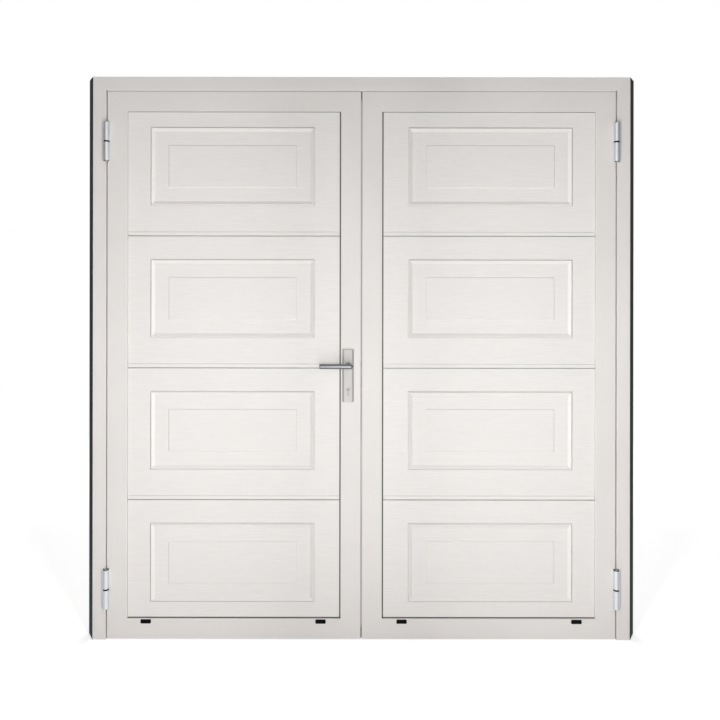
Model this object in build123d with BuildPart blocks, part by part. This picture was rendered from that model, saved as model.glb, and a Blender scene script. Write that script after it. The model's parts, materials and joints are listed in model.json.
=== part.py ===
from build123d import *
import os

os.makedirs("parts", exist_ok=True)

# Double utility door in its frame. X runs across the door, Y from the outside to the inside, Z up.
# The origin is on the floor, midway between the jambs and midway through the leaves.

# Frame profile and outside size, all lengths in millimetres
frame_width = 2038
frame_height = 2134
frame_face = 50
frame_depth = 78
frame_wall = 2.5
stop_reach = 20
stop_depth = 15
head_lip_drop = 3
head_lip_depth = 6

# Leaf profile and the gaps round the leaves
leaf_depth = 60
leaf_gap = 5
meeting_gap = 5
floor_gap = 4
sightline = 76
lip_reach = 12
lip_thickness = 6
leaf_wall = 2.2

# Broken edges: long edges of the profiles, and the hairline at the mitres
long_edge = 1.2
mitre_edge = 0.4

# One overrun for every cut, and the clearances of parts that seat or run in each other
overrun = 5
seat_clearance = 0.3
slide_clearance = 0.25
pin_clearance = 0.05

# Panel sections, stacked with tongue and groove; the shares are of the height that they fill together
panel_thickness = 40
panel_recess = 7
panel_count = 4
section_share = 0.2581
lowest_section_share = 0.236
panel_edge_gap = 2
joint_gap = 3
band_height = 13
band_recess = 1.5
band_groove = 1.4
band_groove_depth = 7
tongue_width = 14
tongue_height = 9
section_edge = 1

# Coffer pressed into each section; the shares are of the height of one section
coffer_width = 623
coffer_height_share = 0.592
coffer_middle_share = 0.526
coffer_from_hinge_edge = 474.5
crease_width = 1.8
crease_depth = 3.5
rim_run = 4
rim_rise = 4.5
slope_run = 12.5
slope_drop = 6
field_inset = 67
field_run = 3
field_rise = 3

# Panel gaskets: how far the front ring shows past the lip on each side
show_at_meeting = 4.5
show_at_hinge = 0.4
show_at_top = 1.6
show_at_bottom = 3.5
rear_gasket = 2
bead_edge = 1.5

# Reveal seals on the outer sides of the jambs, and the closing gasket on the stop
seal_depth = 50
seal_flare = 32.5
seal_base = 4
seal_lip = 4.5
gasket_inset = 4
gasket_width = 10
gasket_edge = 0.8

# Threshold
threshold_plate = 2
threshold_height = 18
threshold_setback = 12

# Corner cleats in the hollow corners
cleat_length = 95
leaf_cleat_inset = 24
frame_cleat_inset = 14
cleat_depth = 34

# Anchors through the jambs and the head into the wall
anchor_diameter = 10.5
anchor_depth = 57
jamb_anchor_end_gap = 180
jamb_anchor_count = 4
head_anchor_spacing = 900

# Lift-off hinges
hinge_length = 147
hinge_from_end = 193
hinge_overlap = 2
hinge_stand_off = 13
knuckle_diameter = 20
hinge_pin_diameter = 10
pin_recess = 4
washer_height = 5.5
washer_diameter = 20.6
washer_clearance = 0.1
frame_foot_gap = 0.5
frame_foot_width = 3.7
frame_foot_depth = 12
leaf_foot_width = 10
knuckle_edge = 0.8

# Drain caps on the bottom rails
cap_width = 40
cap_height = 15
cap_depth = 4
cap_bevel = 3
cap_below_lip = 2.5
cap_from_meeting = 151
cap_from_hinge = 148
drain_slot_width = 28
drain_slot_height = 5

# Seals between the leaves, just clear of the path of the other leaf
meeting_seal_width = 8
meeting_seal_setback = 9
meeting_seal_reach = 2.05
meeting_seal_edge = 0.8

# Lock: handle follower above, profile cylinder below
spindle_height = 1042
cylinder_drop = 92
backset = 48
forend_width = 22
forend_height = 240
forend_drop = 42
forend_corner = 2
case_thickness = 16
case_back = 61
case_above = 28
case_below = 25
spindle_side = 8
spindle_hole = 12
latch_height = 24
latch_thickness = 12
latch_throw = 12
latch_tail = 26
latch_retract = 14
latch_bevel = 11
deadbolt_drop = 52
deadbolt_height = 30
deadbolt_thickness = 14
deadbolt_length = 36
deadbolt_inset = 0.5
cylinder_radius = 8.5
cylinder_web = 10
cylinder_total = 33
cylinder_proud = 1
plug_radius = 6.4
plug_proud = 0.6
cam_radius = 13
cam_width = 8
cam_thickness = 9
cam_room = 1
key_slot_width = 8
key_slot_height = 2
key_slot_depth = 6

# Plates and levers, the same inside and outside
plate_width = 44
plate_height = 199
plate_thickness = 10
plate_centre_drop = 40
plate_bevel = 7
plate_edge = 1.2
neck_diameter = 20
lever_diameter = 18
lever_stand_off = 49
lever_reach = 105.5
lever_overhang = 10.5
lever_end_edge = 2.5
lever_socket = 22
screw_diameter = 5
screw_head_diameter = 9
screw_head_height = 3
screw_from_plate_end = 16.5
screw_depth_in_plate = 6

# Strike plate and flush bolts on the passive leaf
strike_height = 150
strike_drop = 26
rod_diameter = 10
rod_inset = 12
rod_retracted = 1
rod_length = 250
rod_hole = 11
guide_width = 20
guide_height = 150
guide_from_end = 110
guide_lug = 12
lug_depth = 17
thumb_width = 8
thumb_height = 12
thumb_slot = 46
thumb_inset = 0.6

# Places worked out from the sizes above
front_y = -leaf_depth / 2
back_y = leaf_depth / 2
frame_back = front_y + frame_depth
stop_front = frame_back - stop_depth
frame_half = frame_width / 2
leaf_outer = frame_half - frame_face - leaf_gap
leaf_inner = meeting_gap / 2
leaf_top = frame_height - frame_face - leaf_gap
leaf_bottom = floor_gap
tube_width = sightline - lip_reach
panel_front = front_y + panel_recess
panel_back = panel_front + panel_thickness
bead_front = panel_back + rear_gasket
hinge_x = leaf_outer - hinge_overlap
hinge_y = front_y - hinge_stand_off
cylinder_height = spindle_height - cylinder_drop
lock_x = -leaf_inner - backset
rod_x = leaf_inner + rod_inset

frame_rect = (-frame_half, frame_half, 0, frame_height)
leaf_rects = {
    "left": (-leaf_outer, -leaf_inner, leaf_bottom, leaf_top),
    "right": (leaf_inner, leaf_outer, leaf_bottom, leaf_top),
}
sides = {"left": -1, "right": 1}
edge_order = ("left", "top", "right", "bottom")


# Shapes drawn into the part that is open
def slab(outline, front, back, mode=Mode.ADD):
    """Outline in X and Z, filled between two depths."""
    with BuildSketch(Plane.XZ.offset(-back)) as flat:
        with BuildLine():
            Polyline(*outline, close=True)
        make_face()
    extrude(flat.sketch, amount=back - front, mode=mode)


def prism(outline, low, high, mode=Mode.ADD):
    """Outline in X and Y, filled between two heights."""
    with BuildSketch(Plane.XY.offset(low)) as flat:
        with BuildLine():
            Polyline(*outline, close=True)
        make_face()
    extrude(flat.sketch, amount=high - low, mode=mode)


def section_bar(outline, start, end, mode=Mode.ADD):
    """Outline in Y and Z, drawn out along X."""
    with BuildSketch(Plane.YZ.offset(start)) as flat:
        with BuildLine():
            Polyline(*outline, close=True)
        make_face()
    extrude(flat.sketch, amount=end - start, mode=mode)


def block(x_span, y_span, z_span, mode=Mode.ADD):
    """Straight block between two limits along each axis."""
    x_low, x_high = sorted(x_span)
    y_low, y_high = sorted(y_span)
    prism([(x_low, y_low), (x_high, y_low), (x_high, y_high), (x_low, y_high)], *sorted(z_span), mode)


def round_along_y(radius, x, z, front, back, mode=Mode.ADD):
    """Round bar or hole that runs through the depth of the door."""
    with BuildSketch(Plane.XZ.offset(-back)) as flat:
        with Locations((x, z)):
            Circle(radius)
    extrude(flat.sketch, amount=back - front, mode=mode)


def post(radius, x, y, low, high, mode=Mode.ADD):
    """Upright round bar or hole."""
    with BuildSketch(Plane.XY.offset(low)) as flat:
        with Locations((x, y)):
            Circle(radius)
    extrude(flat.sketch, amount=high - low, mode=mode)


def round_along_x(radius, y, z, start, end, mode=Mode.ADD):
    """Round bar or hole that runs across the door."""
    with BuildSketch(Plane.YZ.offset(start)) as flat:
        with Locations((y, z)):
            Circle(radius)
    extrude(flat.sketch, amount=end - start, mode=mode)


def sloped_block(centre, size_a, y_a, size_b, y_b, mode=Mode.ADD):
    """Rectangular block with sloping sides, of one size at one depth and another size at another."""
    sections = []
    for size, y in ((size_a, y_a), (size_b, y_b)):
        with BuildSketch(Plane.XZ.offset(-y)) as flat:
            with Locations(centre):
                Rectangle(*size)
        sections.append(flat.sketch)
    loft(sections, ruled=True, mode=mode)


def cylinder_profile(x, z, extra, front, back, mode=Mode.ADD):
    """Profile of a lock cylinder: a round barrel with a narrow web below, round at its foot."""
    web = cylinder_web / 2 + extra
    foot = z + cylinder_radius - cylinder_total + cylinder_web / 2
    round_along_y(cylinder_radius + extra, x, z, front, back, mode)
    slab([(x - web, z), (x + web, z), (x + web, foot), (x - web, foot)], front, back, mode)
    round_along_y(web, x, foot, front, back, mode)


# Mitred rings: strips that lie along the edges of a rectangle
def ring_corners(rect, inset, foot=1):
    """Corners of a rectangle moved inwards; foot 0 leaves the lower edge where it is."""
    left, right, low, high = rect
    return [
        (left + inset, low + inset * foot),
        (left + inset, high - inset),
        (right - inset, high - inset),
        (right - inset, low + inset * foot),
    ]


def strip(rect, edge, inset, reach, foot=1):
    """Mitred strip along one edge of a rectangle, from one inset to another."""
    outer = ring_corners(rect, inset, foot)
    inner = ring_corners(rect, reach, foot)
    first = edge_order.index(edge)
    last = (first + 1) % len(outer)
    return [outer[first], outer[last], inner[last], inner[first]]


def ease_front(member, edge):
    """Break the front edges: a hairline at the mitred ends, then the long edges."""
    along = Axis.Z if edge in ("left", "right") else Axis.X
    front = member.faces().sort_by(Axis.Y)[0]
    chamfer(front.edges().filter_by(along, reverse=True), length=mitre_edge)
    front = member.faces().sort_by(Axis.Y)[0]
    chamfer(front.edges().filter_by(along), length=long_edge)


def frame_profile(member, edge):
    """Hollow frame profile with the stop that the leaves close against."""
    slab(strip(frame_rect, edge, 0, frame_face, 0), front_y, frame_back)
    slab(strip(frame_rect, edge, frame_face, frame_face + stop_reach, 0), stop_front, frame_back)
    ease_front(member, edge)
    near, far = frame_wall, frame_face - frame_wall
    slab(strip(frame_rect, edge, near, far, 0), front_y + frame_wall, frame_back - frame_wall, Mode.SUBTRACT)
    slab(
        strip(frame_rect, edge, far, far + stop_reach, 0),
        stop_front + frame_wall,
        frame_back - frame_wall,
        Mode.SUBTRACT,
    )


def leaf_profile(member, side, edge):
    """Hollow leaf profile with a front lip that covers the edge of the panel."""
    rect = leaf_rects[side]
    slab(strip(rect, edge, 0, sightline), front_y, front_y + lip_thickness)
    slab(strip(rect, edge, 0, tube_width), front_y, back_y)
    ease_front(member, edge)
    chamber = strip(rect, edge, leaf_wall, tube_width - leaf_wall)
    slab(chamber, front_y + leaf_wall, back_y - leaf_wall, Mode.SUBTRACT)


def corner_cleat(corner, inset, reach, front, back):
    """Angle block that joins two mitred profiles inside their hollow corner."""
    x, z, across, up = corner
    shape = [
        (inset, inset),
        (cleat_length, inset),
        (cleat_length, reach),
        (reach, reach),
        (reach, cleat_length),
        (inset, cleat_length),
    ]
    slab([(x + across * a, z + up * b) for a, b in shape], front, back)


def save(piece, name):
    """Name a finished piece and write it."""
    piece.part.label = name
    export_step(piece.part, f"parts/{name}.step")


# Frame: two jambs and a head
anchor_step = (frame_height - 2 * jamb_anchor_end_gap) / (jamb_anchor_count - 1)
for side, sign in sides.items():
    with BuildPart() as jamb:
        frame_profile(jamb, side)
        for index in range(jamb_anchor_count):
            height = jamb_anchor_end_gap + index * anchor_step
            outer_x = sign * (frame_half + overrun)
            inner_x = sign * (frame_half - frame_face - overrun)
            start, end = sorted((outer_x, inner_x))
            anchor_y = front_y + anchor_depth
            round_along_x(anchor_diameter / 2, anchor_y, height, start, end, Mode.SUBTRACT)
    save(jamb, f"{side}_jamb")

with BuildPart() as head:
    frame_profile(head, "top")
    for x in (-head_anchor_spacing / 2, head_anchor_spacing / 2):
        low = frame_height - frame_face - overrun
        post(anchor_diameter / 2, x, front_y + anchor_depth, low, frame_height + overrun, Mode.SUBTRACT)
    keep_top = frame_height - frame_face + frame_wall + overrun
    post(rod_hole / 2, rod_x, 0, frame_height - frame_face - overrun, keep_top, Mode.SUBTRACT)
    lip_front = front_y + long_edge
    lip_back = lip_front + head_lip_depth
    lip_high = frame_height - frame_face
    lip_low = lip_high - head_lip_drop
    wedge = [
        (lip_front, lip_high),
        (lip_front + head_lip_drop, lip_low),
        (lip_back, lip_low),
        (lip_back, lip_high),
    ]
    section_bar(wedge, -leaf_outer, leaf_outer)
save(head, "head")

# Threshold: thin plate under the leaves and a hollow stop rib behind them
rib_half = frame_half - frame_face - stop_reach
plate_half = frame_half - frame_face
with BuildPart() as threshold:
    block((-plate_half, plate_half), (front_y + threshold_setback, stop_front), (0, threshold_plate))
    block((-rib_half, rib_half), (stop_front, frame_back), (0, threshold_height))
    rib = threshold.edges().filter_by(Axis.X).group_by(Axis.Z)[-1]
    chamfer(rib, length=long_edge)
    block(
        (-rib_half - overrun, rib_half + overrun),
        (stop_front + frame_wall, frame_back - frame_wall),
        (frame_wall, threshold_height - frame_wall),
        Mode.SUBTRACT,
    )
    post(rod_hole / 2, rod_x, 0, -overrun, threshold_plate + overrun, Mode.SUBTRACT)
save(threshold, "threshold")

# Splayed lip seals between the jambs and the wall's reveal
for side, sign in sides.items():
    root_depth = seal_depth * seal_lip / seal_flare * 2
    shape = [
        (0, 0),
        (seal_flare, seal_depth),
        (seal_flare - seal_lip, seal_depth),
        (seal_base, root_depth),
        (seal_base, seal_depth),
        (0, seal_depth),
    ]
    with BuildPart() as reveal_seal:
        prism([(sign * (frame_half + out), front_y + back) for out, back in shape], 0, frame_height)
    save(reveal_seal, f"{side}_reveal_seal")

# Closing gasket round the stop, just clear of the backs of the leaves
gasket_outer = frame_face + gasket_inset
gasket_low = (threshold_height - gasket_width) / 2
gasket_rect = (gasket_outer - frame_half, frame_half - gasket_outer, gasket_low, frame_height - gasket_outer)
with BuildPart() as frame_gasket:
    slab(ring_corners(gasket_rect, 0), back_y + seat_clearance, stop_front)
    gasket_hole = ring_corners(gasket_rect, gasket_width)
    slab(gasket_hole, back_y - overrun, stop_front + overrun, Mode.SUBTRACT)
    chamfer(frame_gasket.faces().sort_by(Axis.Y)[0].edges(), length=gasket_edge)
save(frame_gasket, "frame_gasket")

with BuildPart() as frame_corner_cleats:
    cleat_reach = frame_face - frame_wall - seat_clearance
    cleat_front = front_y + (frame_depth - cleat_depth) / 2
    for x, across in ((-frame_half, 1), (frame_half, -1)):
        corner = (x, frame_height, across, -1)
        corner_cleat(corner, frame_cleat_inset, cleat_reach, cleat_front, cleat_front + cleat_depth)
save(frame_corner_cleats, "frame_corner_cleats")

# Leaves: stiles and rails
forend_middle = spindle_height - forend_drop
strike_middle = spindle_height - strike_drop
plate_middle = spindle_height - plate_centre_drop
plate_ends = (plate_middle - plate_height / 2, plate_middle + plate_height / 2)
screw_heights = (plate_ends[0] + screw_from_plate_end, plate_ends[1] - screw_from_plate_end)
guide_middles = {
    "bottom": leaf_bottom + tube_width + guide_from_end,
    "top": leaf_top - tube_width - guide_from_end,
}

for side in sides:
    with BuildPart() as hinge_stile:
        leaf_profile(hinge_stile, side, side)
    save(hinge_stile, f"{side}_hinge_stile")

with BuildPart() as lock_stile:
    leaf_profile(lock_stile, "left", "right")
    forend_cut = forend_width / 2 + slide_clearance / 2
    forend_half = forend_height / 2 + slide_clearance / 2
    block(
        (overrun, -leaf_inner - leaf_wall),
        (-forend_cut, forend_cut),
        (forend_middle - forend_half, forend_middle + forend_half),
        Mode.SUBTRACT,
    )
    through = (front_y - overrun, back_y + overrun)
    round_along_y(neck_diameter / 2, lock_x, spindle_height, *through, Mode.SUBTRACT)
    cylinder_profile(lock_x, cylinder_height, slide_clearance, *through, Mode.SUBTRACT)
    for height in screw_heights:
        round_along_y(screw_diameter / 2 + slide_clearance, lock_x, height, *through, Mode.SUBTRACT)
save(lock_stile, "left_lock_stile")

with BuildPart() as meeting_stile:
    leaf_profile(meeting_stile, "right", "left")
    strike_half = strike_height / 2 + slide_clearance / 2
    edge_wall = (-overrun, leaf_inner + leaf_wall)
    strike_span = (strike_middle - strike_half, strike_middle + strike_half)
    block(edge_wall, (-forend_cut, forend_cut), strike_span, Mode.SUBTRACT)
    guide_half = guide_height / 2 + slide_clearance / 2
    guide_cut = guide_width / 2 + slide_clearance / 2
    for middle in guide_middles.values():
        block(edge_wall, (-guide_cut, guide_cut), (middle - guide_half, middle + guide_half), Mode.SUBTRACT)
save(meeting_stile, "right_meeting_stile")

for side, sign in sides.items():
    with BuildPart() as top_rail:
        leaf_profile(top_rail, side, "top")
        if side == "right":
            wall_low = leaf_top - leaf_wall - overrun
            post(rod_hole / 2, rod_x, 0, wall_low, leaf_top + overrun, Mode.SUBTRACT)
    save(top_rail, f"{side}_top_rail")

    cap_xs = (sign * (leaf_inner + cap_from_meeting), sign * (leaf_outer - cap_from_hinge))
    cap_top = leaf_bottom + sightline - cap_below_lip
    slot_half = drain_slot_width / 2
    slot_span = (cap_top - cap_height, cap_top - cap_height + drain_slot_height)
    with BuildPart() as bottom_rail:
        leaf_profile(bottom_rail, side, "bottom")
        for x in cap_xs:
            front_wall = (front_y - overrun, front_y + leaf_wall)
            block((x - slot_half, x + slot_half), front_wall, slot_span, Mode.SUBTRACT)
        if side == "right":
            wall_high = leaf_bottom + leaf_wall + overrun
            post(rod_hole / 2, rod_x, 0, leaf_bottom - overrun, wall_high, Mode.SUBTRACT)
    save(bottom_rail, f"{side}_bottom_rail")

    # Hoods over the drain slots, open along their lower side
    with BuildPart() as drain_caps:
        for x in cap_xs:
            half = cap_width / 2
            slab(
                [
                    (x - half + cap_bevel, cap_top - cap_height),
                    (x + half - cap_bevel, cap_top - cap_height),
                    (x + half, cap_top - cap_height + cap_bevel),
                    (x + half - cap_bevel / 2, cap_top),
                    (x - half + cap_bevel / 2, cap_top),
                    (x - half, cap_top - cap_height + cap_bevel),
                ],
                front_y - cap_depth,
                front_y,
            )
        chamfer(drain_caps.faces().group_by(Axis.Y)[0].edges(), length=cap_bevel / 2)
        for x in cap_xs:
            mouth = (cap_top - cap_height - overrun, cap_top - cap_height + drain_slot_height)
            hood = (front_y - cap_depth / 2, front_y + overrun)
            block((x - slot_half, x + slot_half), hood, mouth, Mode.SUBTRACT)
    save(drain_caps, f"{side}_drain_caps")

    with BuildPart() as corner_cleats:
        left, right, low, high = leaf_rects[side]
        cleat_reach = tube_width - leaf_wall - seat_clearance
        for x, across in ((left, 1), (right, -1)):
            for z, up in ((low, 1), (high, -1)):
                corner = (x, z, across, up)
                corner_cleat(corner, leaf_cleat_inset, cleat_reach, -cleat_depth / 2, cleat_depth / 2)
    save(corner_cleats, f"{side}_corner_cleats")

# Panels, their gaskets and the beads that hold them from the inside
edge_inset = tube_width + panel_edge_gap
stack_low = leaf_bottom + edge_inset
stack_high = leaf_top - edge_inset
panel_pitch = (stack_high - stack_low) * section_share
lowest_joint = stack_low + (stack_high - stack_low) * lowest_section_share
coffer_height = panel_pitch * coffer_height_share
for side, sign in sides.items():
    rect = leaf_rects[side]
    panel_xs = sorted((sign * (leaf_outer - edge_inset), sign * (leaf_inner + edge_inset)))
    coffer_x = sign * (leaf_outer - coffer_from_hinge_edge)
    for index in range(panel_count):
        joint_below = lowest_joint + (index - 1) * panel_pitch
        is_lowest = index == 0
        is_highest = index == panel_count - 1
        low = stack_low if is_lowest else joint_below + joint_gap / 2
        high = stack_high if is_highest else joint_below + panel_pitch - joint_gap / 2
        middle = (panel_front + panel_back) / 2
        tongue = tongue_width / 2
        groove = tongue + slide_clearance
        outline = [(panel_front + section_edge, high), (panel_front, high - section_edge)]
        if is_lowest:
            outline += [(panel_front, low), (panel_back, low)]
        else:
            outline += [
                (panel_front, low + band_height + band_groove),
                (panel_front + band_groove_depth, low + band_height + band_groove),
                (panel_front + band_groove_depth, low + band_height),
                (panel_front + band_recess, low + band_height),
                (panel_front + band_recess, low),
                (middle - groove, low),
                (middle - groove, low + tongue_height),
                (middle + groove, low + tongue_height),
                (middle + groove, low),
                (panel_back, low),
            ]
        outline += [(panel_back, high)]
        if not is_highest:
            outline += [
                (middle + tongue, high),
                (middle + tongue, high + tongue_height),
                (middle - tongue, high + tongue_height),
                (middle - tongue, high),
            ]
        with BuildPart() as panel:
            section_bar(outline, *panel_xs)
            centre = (coffer_x, joint_below + panel_pitch * coffer_middle_share)
            rim = (coffer_width - 2 * rim_run, coffer_height - 2 * rim_run)
            rim_y = panel_front - rim_rise
            floor = (rim[0] - 2 * slope_run, rim[1] - 2 * slope_run)
            floor_y = rim_y + slope_drop
            field = (coffer_width - 2 * field_inset, coffer_height - 2 * field_inset)
            field_top = (field[0] - 2 * field_run, field[1] - 2 * field_run)
            outer = (coffer_width, coffer_height)
            crease = (coffer_width + 2 * crease_width, coffer_height + 2 * crease_width)
            crease_y = panel_front + crease_depth
            sloped_block(centre, crease, panel_front, crease, crease_y, Mode.SUBTRACT)
            sloped_block(centre, outer, crease_y, outer, panel_front)
            sloped_block(centre, outer, panel_front, rim, rim_y)
            sloped_block(centre, rim, rim_y, floor, floor_y, Mode.SUBTRACT)
            sloped_block(centre, field, floor_y, field_top, floor_y - field_rise)
        save(panel, f"{side}_panel_{index + 1}")

    meeting_x = sign * (leaf_inner + sightline + show_at_meeting)
    hinge_side_x = sign * (leaf_outer - sightline - show_at_hinge)
    window_left, window_right = sorted((meeting_x, hinge_side_x))
    window_low = leaf_bottom + sightline + show_at_bottom
    window_high = leaf_top - sightline - show_at_top
    window = [
        (window_left, window_low),
        (window_left, window_high),
        (window_right, window_high),
        (window_right, window_low),
    ]
    gasket_back = front_y + lip_thickness
    with BuildPart() as panel_gasket:
        slab(ring_corners(rect, edge_inset), gasket_back, panel_front)
        slab(ring_corners(rect, edge_inset), panel_back, bead_front)
        slab(window, front_y, panel_front + overrun, Mode.SUBTRACT)
        slab(ring_corners(rect, sightline), panel_back - overrun, back_y, Mode.SUBTRACT)
    save(panel_gasket, f"{side}_panel_gasket")

    beads = []
    for edge in edge_order:
        with BuildPart() as bead:
            slab(strip(rect, edge, tube_width, sightline), bead_front, back_y)
            along = Axis.Z if edge in ("left", "right") else Axis.X
            long_edges = bead.faces().sort_by(Axis.Y)[-1].edges().filter_by(along)
            chamfer(long_edges.sort_by(SortBy.LENGTH)[0], length=bead_edge)
        beads.append(bead.part)
    bead_set = Compound(label=f"{side}_glazing_beads", children=beads)
    export_step(bead_set, f"parts/{side}_glazing_beads.step")

# Seals in the gap between the leaves, one on the edge of each leaf
for side, sign in sides.items():
    with BuildPart() as meeting_seal:
        seal_front = front_y + meeting_seal_setback
        seal_x = (sign * leaf_inner, sign * (leaf_inner - meeting_seal_reach))
        block(seal_x, (seal_front, seal_front + meeting_seal_width), (leaf_bottom, leaf_top))
        lip = meeting_seal.edges().filter_by(Axis.Z).group_by(Axis.X)[0 if sign > 0 else -1]
        fillet(lip, radius=meeting_seal_edge)
    save(meeting_seal, f"{side}_meeting_seal")

# Hinges: the lower knuckle stands on the jamb, the upper one on the leaf
hinge_middles = {"bottom": leaf_bottom + hinge_from_end, "top": leaf_top - hinge_from_end}
knuckle_length = (hinge_length - washer_height) / 2 - washer_clearance
for side, sign in sides.items():
    x = sign * hinge_x
    for place, middle in hinge_middles.items():
        low = middle - hinge_length / 2
        high = middle + hinge_length / 2
        foot_x = hinge_x + knuckle_diameter / 2 + frame_foot_gap
        bore = hinge_pin_diameter / 2 + pin_clearance
        with BuildPart() as frame_half_hinge:
            post(knuckle_diameter / 2, x, hinge_y, low, low + knuckle_length)
            chamfer(frame_half_hinge.faces().sort_by(Axis.Z)[0].edges(), length=knuckle_edge)
            foot_span = (sign * foot_x, sign * (foot_x + frame_foot_width))
            block(foot_span, (front_y - frame_foot_depth, front_y), (low, high))
            web_span = (x, sign * (foot_x + frame_foot_width / 2))
            web_depth = (front_y - frame_foot_depth, front_y - frame_foot_depth / 2)
            block(web_span, web_depth, (low + knuckle_edge, low + knuckle_length))
            post(bore, x, hinge_y, low - overrun, high + overrun, Mode.SUBTRACT)
        save(frame_half_hinge, f"{side}_{place}_hinge_frame_half")

        with BuildPart() as leaf_half_hinge:
            post(knuckle_diameter / 2, x, hinge_y, high - knuckle_length, high)
            chamfer(leaf_half_hinge.faces().sort_by(Axis.Z)[-1].edges(), length=knuckle_edge)
            foot_span = (sign * leaf_outer, sign * (leaf_outer - leaf_foot_width))
            block(foot_span, (hinge_y, front_y), (high - knuckle_length, high - knuckle_edge))
            post(bore, x, hinge_y, low - overrun, high + overrun, Mode.SUBTRACT)
        save(leaf_half_hinge, f"{side}_{place}_hinge_leaf_half")

with BuildPart() as hinge_pins:
    for sign in sides.values():
        for middle in hinge_middles.values():
            pin_half = hinge_length / 2 - pin_recess
            post(hinge_pin_diameter / 2, sign * hinge_x, hinge_y, middle - pin_half, middle + pin_half)
save(hinge_pins, "hinge_pins")

with BuildPart() as hinge_washers:
    for sign in sides.values():
        for middle in hinge_middles.values():
            low, high = middle - washer_height / 2, middle + washer_height / 2
            post(washer_diameter / 2, sign * hinge_x, hinge_y, low, high)
            washer_bore = hinge_pin_diameter / 2 + pin_clearance
            post(washer_bore, sign * hinge_x, hinge_y, low - overrun, high + overrun, Mode.SUBTRACT)
save(hinge_washers, "hinge_washers")

# Mortice lock in the left leaf
forend_back = -leaf_inner - leaf_wall
latch_z = (spindle_height - latch_height / 2, spindle_height + latch_height / 2)
deadbolt_middle = spindle_height - deadbolt_drop
deadbolt_z = (deadbolt_middle - deadbolt_height / 2, deadbolt_middle + deadbolt_height / 2)
latch_y = latch_thickness / 2
deadbolt_y = deadbolt_thickness / 2


def bolt_pocket(y_half, z_span, start, end):
    """Straight channel that a bolt slides in."""
    y_room = y_half + slide_clearance
    z_room = (z_span[0] - slide_clearance, z_span[1] + slide_clearance)
    block((start, end), (-y_room, y_room), z_room, Mode.SUBTRACT)


with BuildPart() as lock_case:
    case_z = (cylinder_height - case_below, spindle_height + case_above)
    block((forend_back, -leaf_inner - case_back), (-case_thickness / 2, case_thickness / 2), case_z)
    through = (-case_thickness / 2 - overrun, case_thickness / 2 + overrun)
    round_along_y(spindle_hole / 2, lock_x, spindle_height, *through, Mode.SUBTRACT)
    cylinder_profile(lock_x, cylinder_height, slide_clearance, *through, Mode.SUBTRACT)
    cam_y = cam_thickness / 2 + cam_room
    round_along_y(cam_radius + cam_room, lock_x, cylinder_height, -cam_y, cam_y, Mode.SUBTRACT)
    latch_end = leaf_inner + latch_tail + latch_retract + seat_clearance
    deadbolt_end = leaf_inner + deadbolt_inset + deadbolt_length + seat_clearance
    bolt_pocket(latch_y, latch_z, overrun, -latch_end)
    bolt_pocket(deadbolt_y, deadbolt_z, overrun, -deadbolt_end)
save(lock_case, "lock_case")

with BuildPart() as lock_forend:
    forend_z = (forend_middle - forend_height / 2, forend_middle + forend_height / 2)
    block((-leaf_inner, forend_back), (-forend_width / 2, forend_width / 2), forend_z)
    corners = lock_forend.edges().filter_by(Axis.X)
    fillet(corners, radius=forend_corner)
    bolt_pocket(latch_y, latch_z, overrun, forend_back - overrun)
    bolt_pocket(deadbolt_y, deadbolt_z, overrun, forend_back - overrun)
save(lock_forend, "lock_forend")

with BuildPart() as latch_bolt:
    nose = -leaf_inner + latch_throw
    tail = -leaf_inner - latch_tail
    shape = [(tail, -latch_y), (nose, -latch_y), (nose - latch_bevel, latch_y), (tail, latch_y)]
    prism(shape, *latch_z)
save(latch_bolt, "latch_bolt")

with BuildPart() as deadbolt:
    bolt_face = -leaf_inner - deadbolt_inset
    block((bolt_face, bolt_face - deadbolt_length), (-deadbolt_y, deadbolt_y), deadbolt_z)
    chamfer(deadbolt.faces().sort_by(Axis.X)[-1].edges(), length=long_edge)
save(deadbolt, "deadbolt")

# Profile cylinder: the body stays in the lock, the core turns with the key
cylinder_half = leaf_depth / 2 + plate_thickness + cylinder_proud
with BuildPart() as cylinder_body:
    cylinder_profile(lock_x, cylinder_height, 0, -cylinder_half, cylinder_half)
    core_bore = plug_radius + pin_clearance
    core_span = (-cylinder_half - overrun, cylinder_half + overrun)
    round_along_y(core_bore, lock_x, cylinder_height, *core_span, Mode.SUBTRACT)
    cam_span = (-cam_thickness / 2 - cam_room / 2, cam_thickness / 2 + cam_room / 2)
    round_along_y(cam_radius + cam_room, lock_x, cylinder_height, *cam_span, Mode.SUBTRACT)
save(cylinder_body, "cylinder_body")

with BuildPart() as cylinder_core:
    plug_half = cylinder_half + plug_proud
    round_along_y(plug_radius, lock_x, cylinder_height, -plug_half, plug_half)
    tooth_x = (lock_x - cam_width / 2, lock_x + cam_width / 2)
    tooth_z = (cylinder_height, cylinder_height + cam_radius - cam_room)
    block(tooth_x, (-cam_thickness / 2, cam_thickness / 2), tooth_z)
    slot_x = (lock_x - key_slot_width / 2, lock_x + key_slot_width / 2)
    slot_z = (cylinder_height - key_slot_height / 2, cylinder_height + key_slot_height / 2)
    for end in (-plug_half, plug_half):
        depth = -key_slot_depth if end > 0 else key_slot_depth
        block(slot_x, (end - depth, end + depth), slot_z, Mode.SUBTRACT)
save(cylinder_core, "cylinder_core")

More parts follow.
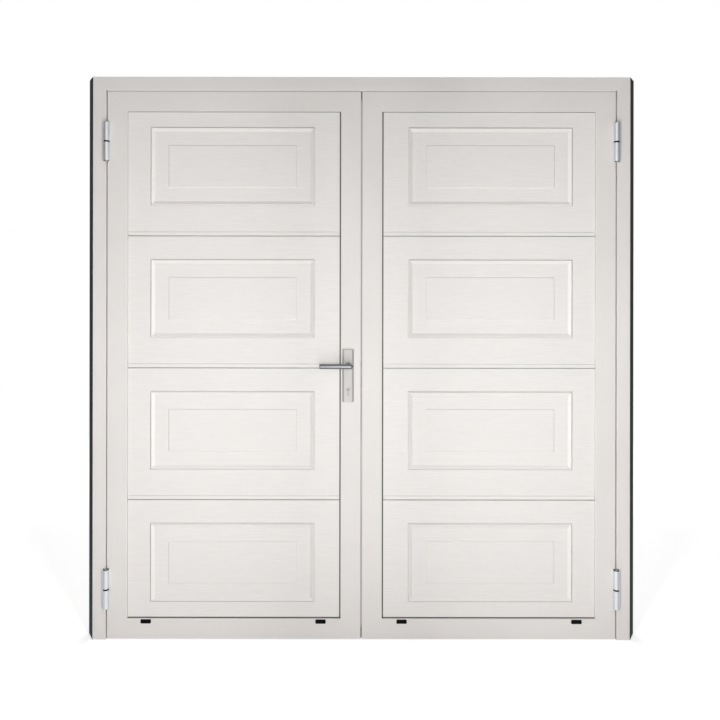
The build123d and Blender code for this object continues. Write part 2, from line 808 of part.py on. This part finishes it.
# Plates on both faces of the leaf, held by two screws that pass through the stile
neck_room = neck_diameter / 2 + seat_clearance
for place, sign in (("outer", -1), ("inner", 1)):
    seat = sign * leaf_depth / 2
    top = seat + sign * plate_thickness
    with BuildPart() as plate:
        plate_x = (lock_x - plate_width / 2, lock_x + plate_width / 2)
        block(plate_x, (seat, top), plate_ends)
        facing = 0 if sign < 0 else -1
        face = plate.faces().sort_by(Axis.Y)[facing]
        chamfer(face.edges().filter_by(Axis.Z), length=plate_bevel)
        face = plate.faces().sort_by(Axis.Y)[facing]
        chamfer(face.edges().filter_by(Axis.X), length=plate_edge)
        span = sorted((seat - sign * overrun, top + sign * overrun))
        round_along_y(neck_room, lock_x, spindle_height, *span, Mode.SUBTRACT)
        cylinder_profile(lock_x, cylinder_height, slide_clearance, *span, Mode.SUBTRACT)
        for height in screw_heights:
            if sign < 0:
                blind = sorted((seat - sign * overrun, seat + sign * screw_depth_in_plate))
                round_along_y(screw_diameter / 2 + pin_clearance, lock_x, height, *blind, Mode.SUBTRACT)
            else:
                hole = screw_diameter / 2 + slide_clearance
                head_room = screw_head_diameter / 2 + slide_clearance
                sunk = (top - screw_head_height - slide_clearance, top + overrun)
                round_along_y(hole, lock_x, height, *span, Mode.SUBTRACT)
                round_along_y(head_room, lock_x, height, *sunk, Mode.SUBTRACT)
    save(plate, f"{place}_plate")

with BuildPart() as plate_screws:
    head_top = leaf_depth / 2 + plate_thickness
    tip = -leaf_depth / 2 - screw_depth_in_plate
    for height in screw_heights:
        round_along_y(screw_diameter / 2, lock_x, height, tip, head_top - screw_head_height)
        round_along_y(screw_head_diameter / 2, lock_x, height, head_top - screw_head_height, head_top)
save(plate_screws, "plate_screws")

# Levers: a round bar that overhangs its neck, with a square socket for the spindle
socket = spindle_side / 2 + pin_clearance
for place, sign in (("outer", -1), ("inner", 1)):
    neck_start = sign * (leaf_depth / 2 + seat_clearance)
    bar_y = sign * (leaf_depth / 2 + lever_stand_off)
    with BuildPart() as lever:
        bar_radius = lever_diameter / 2
        bar_end = lock_x + lever_overhang
        round_along_x(bar_radius, bar_y, spindle_height, lock_x - lever_reach, bar_end)
        grip_end = lever.faces().sort_by(Axis.X)[0]
        fillet(grip_end.edges(), radius=lever_end_edge)
        with Locations((bar_end, bar_y, spindle_height)):
            Sphere(bar_radius)
        round_along_y(neck_diameter / 2, lock_x, spindle_height, *sorted((neck_start, bar_y)))
        socket_end = sign * (leaf_depth / 2 + lever_socket)
        socket_x = (lock_x - socket, lock_x + socket)
        socket_z = (spindle_height - socket, spindle_height + socket)
        block(socket_x, (0, socket_end), socket_z, Mode.SUBTRACT)
    save(lever, f"{place}_lever")

with BuildPart() as spindle:
    half = spindle_side / 2
    reach = leaf_depth / 2 + lever_socket - seat_clearance
    block((lock_x - half, lock_x + half), (-reach, reach), (spindle_height - half, spindle_height + half))
save(spindle, "spindle")

# Strike plate in the edge of the right leaf
with BuildPart() as strike_plate:
    strike_z = (strike_middle - strike_height / 2, strike_middle + strike_height / 2)
    block((leaf_inner, leaf_inner + leaf_wall), (-forend_width / 2, forend_width / 2), strike_z)
    fillet(strike_plate.edges().filter_by(Axis.X), radius=forend_corner)
    reach = (leaf_inner - overrun, leaf_inner + leaf_wall + overrun)
    bolt_pocket(latch_y + long_edge, latch_z, *reach)
    bolt_pocket(deadbolt_y + long_edge, deadbolt_z, *reach)
save(strike_plate, "strike_plate")

# Flush bolts: guides let into the edge of the right leaf, with a rod that slides to head or floor
with BuildPart() as flush_bolt_guides:
    for middle in guide_middles.values():
        face = leaf_inner + leaf_wall
        guide_y = (-guide_width / 2, guide_width / 2)
        block((leaf_inner, face), guide_y, (middle - guide_height / 2, middle + guide_height / 2))
        for end in (-1, 1):
            lug_z = (middle + end * guide_height / 2, middle + end * (guide_height / 2 - guide_lug))
            block((face, face + lug_depth), guide_y, lug_z)
        slot = (middle - thumb_slot / 2, middle + thumb_slot / 2)
        thumb_room = thumb_width / 2 + slide_clearance
        block((leaf_inner - overrun, face), (-thumb_room, thumb_room), slot, Mode.SUBTRACT)
        bore = rod_diameter / 2 + pin_clearance
        post(bore, rod_x, 0, middle - guide_height, middle + guide_height, Mode.SUBTRACT)
save(flush_bolt_guides, "flush_bolt_guides")

for place, end, sign in (("top", leaf_top - rod_retracted, 1), ("bottom", leaf_bottom + rod_retracted, -1)):
    with BuildPart() as flush_bolt:
        post(rod_diameter / 2, rod_x, 0, *sorted((end, end - sign * rod_length)))
        chamfer(flush_bolt.edges().filter_by(GeomType.CIRCLE), length=long_edge)
        thumb_middle = guide_middles[place] - sign * (thumb_slot / 2 - thumb_height)
        thumb_z = (thumb_middle - thumb_height / 2, thumb_middle + thumb_height / 2)
        block((leaf_inner + thumb_inset, rod_x), (-thumb_width / 2, thumb_width / 2), thumb_z)
    save(flush_bolt, f"{place}_flush_bolt")
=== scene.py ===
import json
import math

import bpy
from mathutils import Euler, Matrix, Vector

# Double utility door: materials for the CAD nodes, a white studio and the photograph's camera.
# All lengths are in metres, in the frame of the CAD. Tones are written as seen on screen, 0 to 255.

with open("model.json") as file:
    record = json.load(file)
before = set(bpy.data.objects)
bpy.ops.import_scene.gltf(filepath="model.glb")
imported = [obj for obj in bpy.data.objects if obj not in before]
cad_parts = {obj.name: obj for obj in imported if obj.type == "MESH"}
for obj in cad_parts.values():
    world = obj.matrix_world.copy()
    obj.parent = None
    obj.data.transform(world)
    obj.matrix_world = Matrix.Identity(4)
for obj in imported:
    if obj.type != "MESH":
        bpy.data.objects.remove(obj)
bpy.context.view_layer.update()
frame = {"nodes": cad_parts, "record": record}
nodes = frame["nodes"]
scene = bpy.context.scene

EVEN = (1, 1, 1)
WHITE = (1, 1, 1, 1)
SIDES = (("left", -1), ("right", 1))


# Node helpers
def empty_tree(owner, output_kind):
    """The node tree of a material or world with nothing in it but its output."""
    owner.use_nodes = True
    tree = owner.node_tree
    tree.nodes.clear()
    return tree, tree.nodes.new(output_kind)


def new_material(name):
    material = bpy.data.materials.new(name)
    tree, output = empty_tree(material, "ShaderNodeOutputMaterial")
    shader = tree.nodes.new("ShaderNodeBsdfPrincipled")
    tree.links.new(shader.outputs["BSDF"], output.inputs["Surface"])
    return material, tree, shader


def position(tree, stretch=EVEN):
    """Object position, stretched along each axis, so that patterns keep their real size."""
    coords = tree.nodes.new("ShaderNodeTexCoord")
    mapping = tree.nodes.new("ShaderNodeMapping")
    mapping.inputs["Scale"].default_value = stretch
    tree.links.new(coords.outputs["Object"], mapping.inputs["Vector"])
    return mapping.outputs["Vector"]


def noise(tree, scale, detail, stretch=EVEN, roughness=0.5):
    texture = tree.nodes.new("ShaderNodeTexNoise")
    texture.inputs["Scale"].default_value = scale
    texture.inputs["Detail"].default_value = detail
    texture.inputs["Roughness"].default_value = roughness
    tree.links.new(position(tree, stretch), texture.inputs["Vector"])
    return texture.outputs["Fac"]


def remap(tree, value, low, high, from_low=0.3, from_high=0.7):
    """Turn the range from_low to from_high into low to high. The defaults suit a noise."""
    node = tree.nodes.new("ShaderNodeMapRange")
    node.inputs["From Min"].default_value = from_low
    node.inputs["From Max"].default_value = from_high
    node.inputs["To Min"].default_value = low
    node.inputs["To Max"].default_value = high
    tree.links.new(value, node.inputs["Value"])
    return node.outputs["Result"]


def calculate(tree, operation, *values):
    """A math node; each value is a number or another node's output."""
    node = tree.nodes.new("ShaderNodeMath")
    node.operation = operation
    for socket, value in zip(node.inputs, values):
        if isinstance(value, (int, float)):
            socket.default_value = value
        else:
            tree.links.new(value, socket)
    return node.outputs["Value"]


def along(tree, vector, axis):
    """One component of a vector."""
    axes = tree.nodes.new("ShaderNodeSeparateXYZ")
    tree.links.new(vector, axes.inputs["Vector"])
    return axes.outputs[axis]


def bump(tree, shader, height, distance, strength):
    node = tree.nodes.new("ShaderNodeBump")
    node.inputs["Strength"].default_value = strength
    node.inputs["Distance"].default_value = distance
    tree.links.new(height, node.inputs["Height"])
    tree.links.new(node.outputs["Normal"], shader.inputs["Normal"])


def linear(value):
    """Linear light from a screen value."""
    v = value / 255
    return v / 12.92 if v <= 0.04045 else ((v + 0.055) / 1.055) ** 2.4


def colour(tone):
    """Colour with its alpha from a screen tone of red, green and blue."""
    return (*(linear(value) for value in tone), 1)


def colour_between(tree, value, dark, light, low=0.3, high=0.7):
    ramp = tree.nodes.new("ShaderNodeValToRGB")
    ramp.color_ramp.elements[0].position = low
    ramp.color_ramp.elements[0].color = colour(dark)
    ramp.color_ramp.elements[1].position = high
    ramp.color_ramp.elements[1].color = colour(light)
    tree.links.new(value, ramp.inputs["Fac"])
    return ramp.outputs["Color"]


def tint(tree, factor, tone):
    """Turn the base colour to a tone where the factor is 1."""
    shader = tree.nodes["Principled BSDF"]
    mix = tree.nodes.new("ShaderNodeMix")
    mix.data_type = "RGBA"
    clean = shader.inputs["Base Color"].links[0].from_socket
    tree.links.new(factor, mix.inputs["Factor"])
    # Inputs 6 and 7 and output 2 are the colour sockets of this node
    tree.links.new(clean, mix.inputs[6])
    mix.inputs[7].default_value = colour(tone)
    tree.links.new(mix.outputs[2], shader.inputs["Base Color"])


# White coating: a smooth powder coat with a very fine orange peel
def powder_coat():
    material, tree, shader = new_material("white_powder_coat")
    cloud = noise(tree, scale=2.2, detail=2.0)
    tone = colour_between(tree, cloud, dark=(231, 227, 224), light=(236, 232, 229))
    tree.links.new(tone, shader.inputs["Base Color"])
    peel = noise(tree, scale=900, detail=2.0)
    bump(tree, shader, peel, distance=0.00005, strength=0.5)
    rough = remap(tree, noise(tree, scale=40, detail=3.0), low=0.55, high=0.63)
    tree.links.new(rough, shader.inputs["Roughness"])
    shader.inputs["Specular IOR Level"].default_value = 0.5
    return material


# Panel skins: the same white with a horizontal embossed wood grain
def panel_skin():
    material, tree, shader = new_material("white_wood_grain_skin")
    long_grain = noise(tree, scale=9, detail=6.0, stretch=(1.6, 40, 40), roughness=0.62)
    fine_grain = noise(tree, scale=6, detail=4.0, stretch=(6, 300, 300), roughness=0.6)
    fine_share = 0.4
    grain = calculate(
        tree, "ADD",
        calculate(tree, "MULTIPLY", long_grain, 1 - fine_share),
        calculate(tree, "MULTIPLY", fine_grain, fine_share))
    tone = colour_between(
        tree, grain, dark=(234, 231, 228), light=(243, 240, 237), low=0.35, high=0.65)
    tree.links.new(tone, shader.inputs["Base Color"])
    bump(tree, shader, grain, distance=0.0006, strength=0.5)
    rough = remap(tree, grain, low=0.6, high=0.5)
    tree.links.new(rough, shader.inputs["Roughness"])
    shader.inputs["Specular IOR Level"].default_value = 0.5
    return material


def rubber(name, dark, light, rough, shine=0.35):
    """Extruded rubber with a little dust along its length."""
    material, tree, shader = new_material(name)
    dust = noise(tree, scale=60, detail=5.0, stretch=(1, 1, 0.2))
    tree.links.new(colour_between(tree, dust, dark, light), shader.inputs["Base Color"])
    bump(tree, shader, noise(tree, scale=1400, detail=2.0), distance=0.00006, strength=0.6)
    spread = 0.06
    roughness = remap(tree, dust, rough - spread, rough + spread)
    tree.links.new(roughness, shader.inputs["Roughness"])
    shader.inputs["Specular IOR Level"].default_value = shine
    return material


def moulded_plastic(name, dark, light):
    """Matt plastic with a fine mould texture."""
    material, tree, shader = new_material(name)
    cloud = noise(tree, scale=80, detail=3.0)
    tree.links.new(colour_between(tree, cloud, dark, light), shader.inputs["Base Color"])
    bump(tree, shader, noise(tree, scale=1800, detail=2.0), distance=0.00005, strength=0.7)
    tree.links.new(remap(tree, cloud, low=0.5, high=0.62), shader.inputs["Roughness"])
    shader.inputs["Specular IOR Level"].default_value = 0.06
    return material


def metal(name, dark, light, stretch, rough, metallic=1.0):
    """Metal with fine brushing along one direction, set by how the pattern is stretched."""
    material, tree, shader = new_material(name)
    streak = noise(tree, scale=30, detail=6.0, stretch=stretch, roughness=0.65)
    tree.links.new(colour_between(tree, streak, dark, light), shader.inputs["Base Color"])
    shader.inputs["Metallic"].default_value = metallic
    spread = 0.05
    roughness = remap(tree, streak, rough - spread, rough + spread)
    tree.links.new(roughness, shader.inputs["Roughness"])
    bump(tree, shader, streak, distance=0.00003, strength=0.6)
    return material


def painted_shade_on_ends(material):
    """Painted shade on the ends: every face that looks up or down, with its bevel, is turned dark.
    """
    tree = material.node_tree
    surface = tree.nodes.new("ShaderNodeNewGeometry")
    upright = calculate(tree, "ABSOLUTE", along(tree, surface.outputs["True Normal"], "Z"))
    tint(tree, remap(tree, upright, 0, 1, from_low=0.5, from_high=0.65), (66, 66, 70))


def painted_shade_keyway(material, ends):
    """Painted shade in the keyway: dark everywhere deeper than the core's two end faces."""
    tree = material.node_tree
    middle = (ends[0] + ends[1]) / 2
    half = (ends[1] - ends[0]) / 2
    unshaded_depth = 0.0003
    dark_depth = 0.0012
    offset = calculate(tree, "ADD", along(tree, position(tree), "Y"), -middle)
    from_middle = calculate(tree, "ABSOLUTE", offset)
    keyway_shade = remap(tree, from_middle, 1, 0, from_low=half - dark_depth, from_high=half - unshaded_depth)
    tint(tree, keyway_shade, (14, 14, 14))


# A look for each material slot of the record
NICKEL = {
    "dark": (166, 164, 158),
    "light": (180, 178, 172),
    "stretch": (9, 0.5, 9),
    "rough": 0.55,
    "metallic": 0.4,
}
looks = {
    "white_coat": powder_coat(),
    "panel_skin": panel_skin(),
    "reveal_rubber": rubber(
        "dark_reveal_rubber", (44, 48, 53), (56, 60, 65), rough=0.75, shine=0.12),
    "black_rubber": rubber("black_gasket_rubber", (60, 59, 57), (72, 71, 69), rough=0.65),
    "grey_rubber": rubber("grey_seal_rubber", (142, 140, 137), (152, 150, 147), rough=0.6),
    "black_plastic": moulded_plastic("black_moulded_plastic", (7, 7, 7), (13, 13, 13)),
    "hinge_alloy": metal(
        "hinge_satin_alloy", (204, 206, 210), (222, 224, 227),
        stretch=(8, 8, 0.3), rough=0.46, metallic=0.5),
    "plate_metal": metal(
        "plate_satin_alloy", (184, 183, 180), (196, 195, 192),
        stretch=(10, 10, 0.4), rough=0.62, metallic=0.35),
    "lever_metal": metal(
        "lever_satin_metal", (104, 105, 108), (120, 121, 124), stretch=(0.4, 10, 10), rough=0.35),
    "mill_alloy": metal(
        "mill_alloy", (205, 206, 207), (220, 221, 222), stretch=(0.3, 9, 9), rough=0.38),
    "cylinder_nickel": metal("cylinder_nickel", **NICKEL),
    "zinc_steel": metal(
        "zinc_steel", (198, 200, 203), (214, 216, 218), stretch=(6, 6, 0.5), rough=0.34),
}
# The hinges get painted shade on every face that looks up or down
painted_shade_on_ends(looks["hinge_alloy"])
for entry in frame["record"]["subparts"]:
    data = nodes[entry["node"]].data
    data.materials.clear()
    data.materials.append(looks[entry["material_slot"]])

# The cylinder's core has the cylinder's nickel, with painted shade in its keyway
core = nodes["cylinder_core"]
core_depths = [corner[1] for corner in core.bound_box]
core_metal = metal("core_nickel", **NICKEL)
painted_shade_keyway(core_metal, (min(core_depths), max(core_depths)))
core.data.materials.clear()
core.data.materials.append(core_metal)


# Stage: its light is plain, and where it is seen it is white
def seen_ray(tree):
    """1 for rays that see the stage, directly, in a reflection or through glass; 0 for its light."""
    path = tree.nodes.new("ShaderNodeLightPath")
    seen = path.outputs["Is Camera Ray"]
    for kind in ("Is Glossy Ray", "Is Transmission Ray"):
        seen = calculate(tree, "MAXIMUM", seen, path.outputs[kind])
    return seen


def lit_and_seen(tree, output, lighting, seen):
    """One shader for the light that the stage gives, another where it is seen."""
    mix = tree.nodes.new("ShaderNodeMixShader")
    tree.links.new(seen_ray(tree), mix.inputs["Fac"])
    tree.links.new(lighting, mix.inputs[1])
    tree.links.new(seen, mix.inputs[2])
    tree.links.new(mix.outputs["Shader"], output.inputs["Surface"])


def stage_plane(name, corners, look):
    mesh = bpy.data.meshes.new(name)
    mesh.from_pydata(corners, [], [(0, 1, 2, 3)])
    mesh.materials.append(look)
    plane = bpy.data.objects.new(name, mesh)
    scene.collection.objects.link(plane)
    return plane


# Floor: a soft shadow stays near the door, and further out the floor glows to white
FLOOR_HALF = 6.0
FLOOR_DROP = 0.0005
FLOOR_BOUNCE = (0.74, 0.73, 0.72, 1)
FLOOR_PALE = (0.90, 0.90, 0.90, 1)
NEAR_GLOW = 0.55
FAR_GLOW = 0.76
NEAR_REACH = 2.0
FAR_REACH = 3.6
floor_look = bpy.data.materials.new("pale_floor")
tree, output = empty_tree(floor_look, "ShaderNodeOutputMaterial")
bounce = tree.nodes.new("ShaderNodeBsdfDiffuse")
bounce.inputs["Color"].default_value = FLOOR_BOUNCE
pale = tree.nodes.new("ShaderNodeBsdfDiffuse")
pale.inputs["Color"].default_value = FLOOR_PALE
away = tree.nodes.new("ShaderNodeVectorMath")
away.operation = "LENGTH"
tree.links.new(position(tree), away.inputs[0])
brightness = remap(tree, away.outputs["Value"], NEAR_GLOW, FAR_GLOW, NEAR_REACH, FAR_REACH)
glow = tree.nodes.new("ShaderNodeEmission")
glow.inputs["Color"].default_value = WHITE
tree.links.new(brightness, glow.inputs["Strength"])
lit = tree.nodes.new("ShaderNodeAddShader")
tree.links.new(pale.outputs["BSDF"], lit.inputs[0])
tree.links.new(glow.outputs["Emission"], lit.inputs[1])
lit_and_seen(tree, output, bounce.outputs["BSDF"], lit.outputs["Shader"])
floor_corners = [
    (-FLOOR_HALF, -FLOOR_HALF, -FLOOR_DROP),
    (FLOOR_HALF, -FLOOR_HALF, -FLOOR_DROP),
    (FLOOR_HALF, FLOOR_HALF, -FLOOR_DROP),
    (-FLOOR_HALF, FLOOR_HALF, -FLOOR_DROP),
]
floor = stage_plane("floor", floor_corners, floor_look)

# World: a plain soft light on the object, white where it is seen
AMBIENT_LIGHT = 0.27
SEEN_WHITE = 1.0
world = bpy.data.worlds.new("studio")
scene.world = world
tree, output = empty_tree(world, "ShaderNodeOutputWorld")
backgrounds = []
for strength in (AMBIENT_LIGHT, SEEN_WHITE):
    background = tree.nodes.new("ShaderNodeBackground")
    background.inputs["Color"].default_value = WHITE
    background.inputs["Strength"].default_value = strength
    backgrounds.append(background.outputs["Background"])
lit_and_seen(tree, output, *backgrounds)


# Lamps
def area_light(name, place, aim, width, height, power):
    data = bpy.data.lights.new(name, "AREA")
    data.shape = "RECTANGLE"
    data.size = width
    data.size_y = height
    data.energy = power
    light = bpy.data.objects.new(name, data)
    light.location = place
    light.rotation_euler = (Vector(aim) - Vector(place)).to_track_quat("-Z", "Y").to_euler()
    light.visible_camera = False
    scene.collection.objects.link(light)


# A narrow key from the front
KEY_Y = -2.45
KEY_Z = 1.02
area_light("key", (0, KEY_Y, KEY_Z), (0, 0, KEY_Z), width=0.35, height=0.6, power=13)

# A tall pair that faces across the middle, so that each half of the door is lit, and shaded, from
# beyond its middle
CROSS_X = 0.235
CROSS_Y = -1.7
CROSS_Z = 0.97
CROSS_AIM = 2
for side, sign in SIDES:
    place = (sign * CROSS_X, CROSS_Y, CROSS_Z)
    aim = (-sign * CROSS_AIM, CROSS_Y, CROSS_Z)
    area_light(f"{side}_cross", place, aim, width=0.3, height=1.7, power=37.5)

# A broad lamp behind, so that the inner side is lit too
BACK_Y = 3.2
BACK_Z = 1.1
area_light("back", (0, BACK_Y, BACK_Z), (0, 0, BACK_Z), width=3.0, height=1.6, power=55)

# Dark cards at both sides, as a studio has them, seen only in reflections
CARD_X = 2.2
CARD_NEAR = -3.3
CARD_FAR = 0.5
CARD_HEIGHT = 3.0
CARD_DARK = (0.02, 0.022, 0.026, 1)
for side, sign in SIDES:
    card_look, tree, shader = new_material(f"{side}_card_look")
    shader.inputs["Base Color"].default_value = CARD_DARK
    shader.inputs["Roughness"].default_value = 0.9
    card_corners = [
        (sign * CARD_X, CARD_NEAR, 0),
        (sign * CARD_X, CARD_FAR, 0),
        (sign * CARD_X, CARD_FAR, CARD_HEIGHT),
        (sign * CARD_X, CARD_NEAR, CARD_HEIGHT),
    ]
    card = stage_plane(f"{side}_card", card_corners, card_look)
    card.visible_camera = False
    card.visible_diffuse = False
    card.visible_shadow = False

# Camera at the photograph's place, measured from the front of the leaves
LEAF_FRONT_Y = -0.030
CAMERA_DISTANCE = 2.5
CAMERA_HEIGHT = 1.356
CAMERA_LEVEL = 90
CAMERA_ROLL = -0.08
camera_data = bpy.data.cameras.new("camera")
camera_data.lens = 32.975
camera_data.sensor_width = 36
camera_data.shift_x = -0.0021
camera_data.shift_y = -0.108
camera = bpy.data.objects.new("camera", camera_data)
camera.location = (0, LEAF_FRONT_Y - CAMERA_DISTANCE, CAMERA_HEIGHT)
camera.rotation_euler = Euler((math.radians(CAMERA_LEVEL), math.radians(CAMERA_ROLL), 0))
scene.collection.objects.link(camera)
scene.camera = camera

scene.view_settings.view_transform = "Standard"
